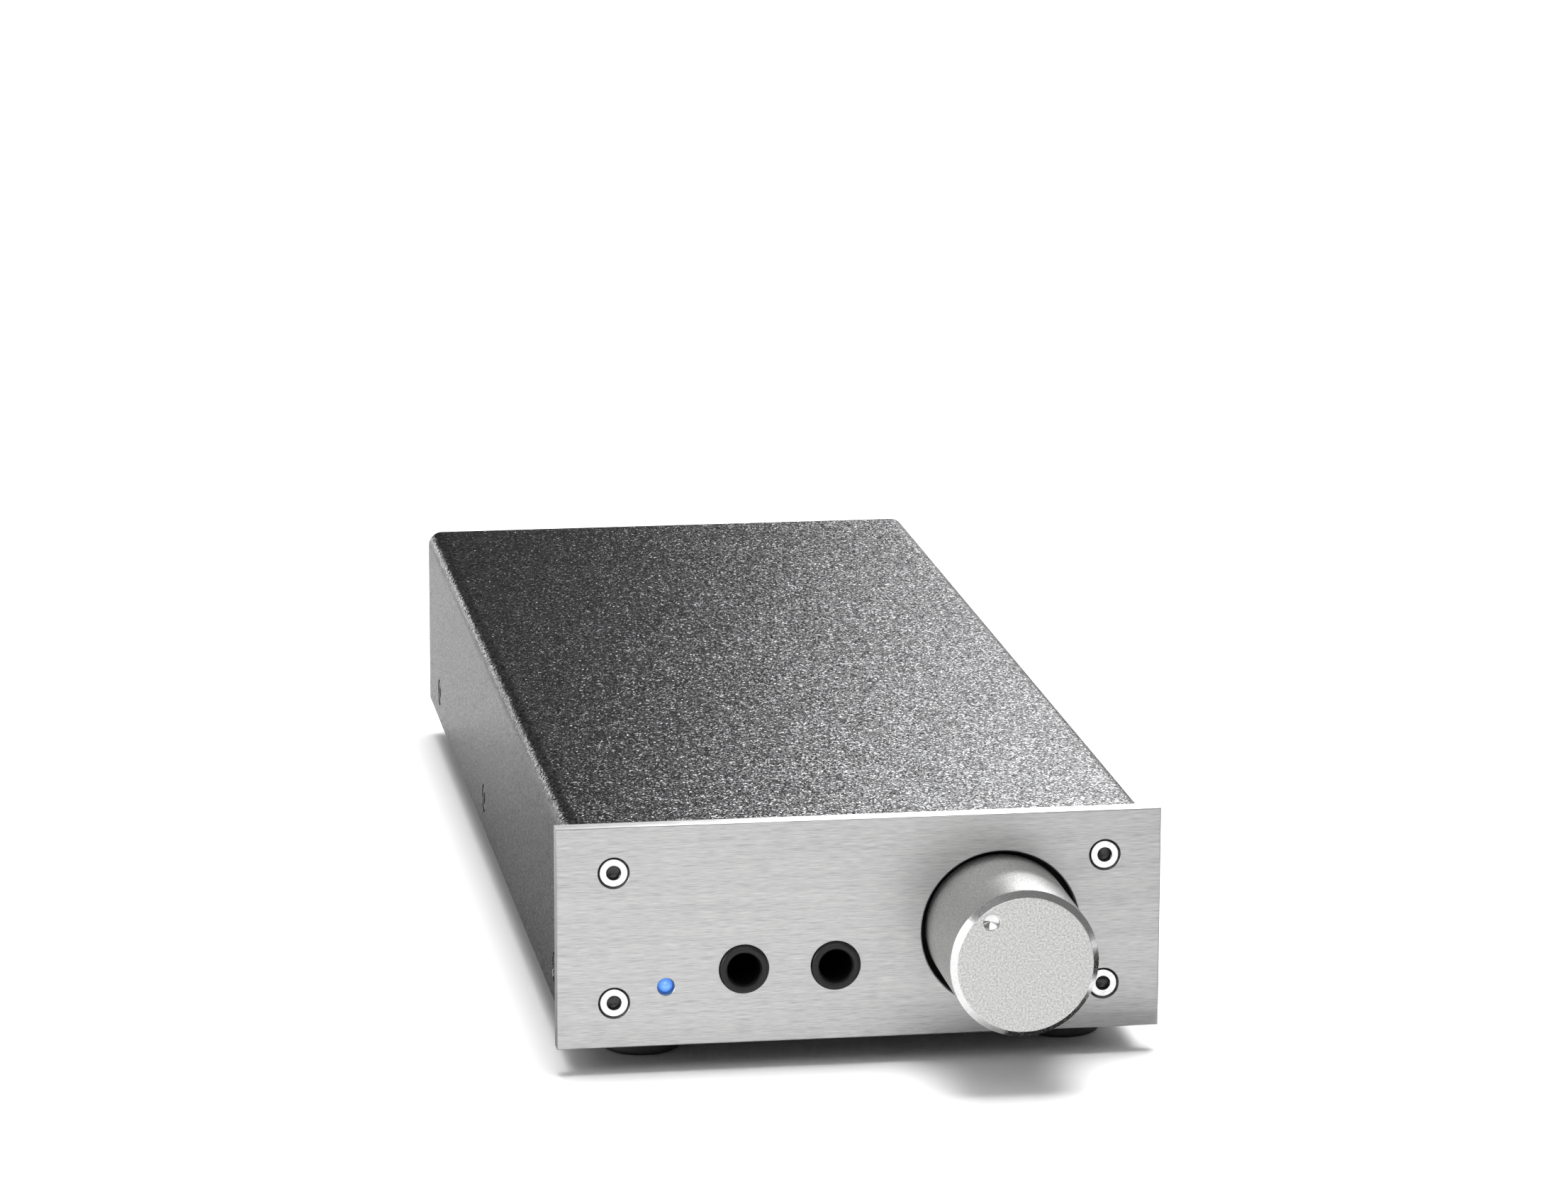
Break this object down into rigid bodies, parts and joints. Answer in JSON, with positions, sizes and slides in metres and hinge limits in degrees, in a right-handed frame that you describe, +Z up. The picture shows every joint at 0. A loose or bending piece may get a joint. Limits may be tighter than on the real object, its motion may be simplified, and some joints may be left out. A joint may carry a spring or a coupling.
{
  "type": "headphone amplifier",
  "caption": "Long low desktop headphone amplifier: folded steel case on rubber feet, aluminium front panel with round volume knob, jacks and lamp; mains inlet, switch and sockets behind.",
  "frame": {"origin": "on the table plane under the feet, midway between the knob's front face and the ends of the rear sockets, on the front panel's middle line", "axes": "+X right as seen from the front, +Y from the front panel to the rear wall, +Z up"},
  "size_m": [0.12, 0.32, 0.05],
  "materials": {
    "panel_aluminium": "brushed along its width, clear anodised",
    "case_paint": "fine-textured metallic powder coat",
    "knob_aluminium": "bead-blasted, clear anodised",
    "screw_steel": "satin nickel plate",
    "zinc_steel": "zinc plated",
    "shaft_metal": "turned, nickel plated",
    "foot_rubber": "matt",
    "black_plastic": "moulded, fine grain",
    "rocker_plastic": "moulded, satin gloss",
    "lamp_lens": "clear blue epoxy, lit",
    "board_laminate": "glass-fibre laminate with solder resist",
    "can_sleeve": "shrink sleeve on aluminium can",
    "film_block": "moulded box",
    "chip_epoxy": "moulded epoxy",
    "sink_aluminium": "black anodised extrusion",
    "copper_winding": "enamelled wire under clear tape",
    "core_steel": "wound strip core",
    "pad_rubber": "sheet",
    "contact_metal": "gold plated",
    "blade_metal": "nickel plated",
    "fuse_glass": "clear tube",
    "socket_gold": "gold plated, turned",
    "white_plastic": "moulded",
    "red_plastic": "moulded",
    "lead_insulation": "insulated stranded wire"
  },
  "bodies": {
    "chassis": {"amplifier_chips": "chip_epoxy", "base_tray": "case_paint", "board_screws": "zinc_steel", "board_standoffs": "zinc_steel", "bridge_rectifier": "chip_epoxy", "cover_screws": "screw_steel", "film_capacitors": "film_block", "foot_front_left": "foot_rubber", "foot_front_right": "foot_rubber", "foot_rear_left": "foot_rubber", "foot_rear_right": "foot_rubber", "foot_screws": "zinc_steel", "front_panel": "panel_aluminium", "headphone_jack_left": "black_plastic", "headphone_jack_right": "black_plastic", "heat_sink_left": "sink_aluminium", "heat_sink_right": "sink_aluminium", "inlet_body": "black_plastic", "inlet_pins": "blade_metal", "input_socket_shells": "socket_gold", "internal_leads": "lead_insulation", "jack_contacts_left": "contact_metal", "jack_contacts_right": "contact_metal", "led_leads": "blade_metal", "left_channel_rings": "white_plastic", "main_board": "board_laminate", "output_socket_shells": "socket_gold", "output_transistors": "chip_epoxy", "panel_screws": "screw_steel", "potentiometer_frame": "zinc_steel", "potentiometer_housing": "chip_epoxy", "potentiometer_nut": "zinc_steel", "potentiometer_pins": "contact_metal", "potentiometer_washer": "zinc_steel", "power_led": "lamp_lens", "press_nuts": "zinc_steel", "reservoir_capacitors": "can_sleeve", "right_channel_rings": "red_plastic", "socket_contacts": "contact_metal", "socket_insulators": "white_plastic", "socket_nuts": "zinc_steel", "socket_washers": "black_plastic", "switch_frame": "black_plastic", "switch_terminals": "blade_metal", "top_cover": "case_paint", "transformer_bolt": "zinc_steel", "transformer_core": "core_steel", "transformer_nut": "zinc_steel", "transformer_pads": "pad_rubber", "transformer_plate": "zinc_steel", "transformer_winding": "copper_winding", "transistor_screws": "zinc_steel"},
    "volume_control": {"volume_knob": "knob_aluminium", "knob_set_screw": "zinc_steel", "potentiometer_shaft": "shaft_metal", "potentiometer_rotor": "chip_epoxy"},
    "fuse_holder": {"fuse_drawer": "black_plastic", "fuse_glass": "fuse_glass", "fuse_caps": "blade_metal"},
    "power_rocker": {"switch_rocker": "rocker_plastic"}
  },
  "joints": [
    {"name": "volume_turn", "type": "hinge", "parent": "chassis", "child": "volume_control", "pos_m": [0.028, -0.147, 0.0266], "axis": [0, 1, 0], "range_deg": [-112.4, 187.6]},
    {"name": "power_rocker_tilt", "type": "hinge", "parent": "chassis", "child": "power_rocker", "pos_m": [0.002, 0.149, 0.0284], "axis": [1, 0, 0], "range_deg": [-24, 0]},
    {"name": "fuse_drawer_slide", "type": "slide", "parent": "chassis", "child": "fuse_holder", "axis": [0, 1, 0], "range_m": [0, 0.02]}
  ]
}
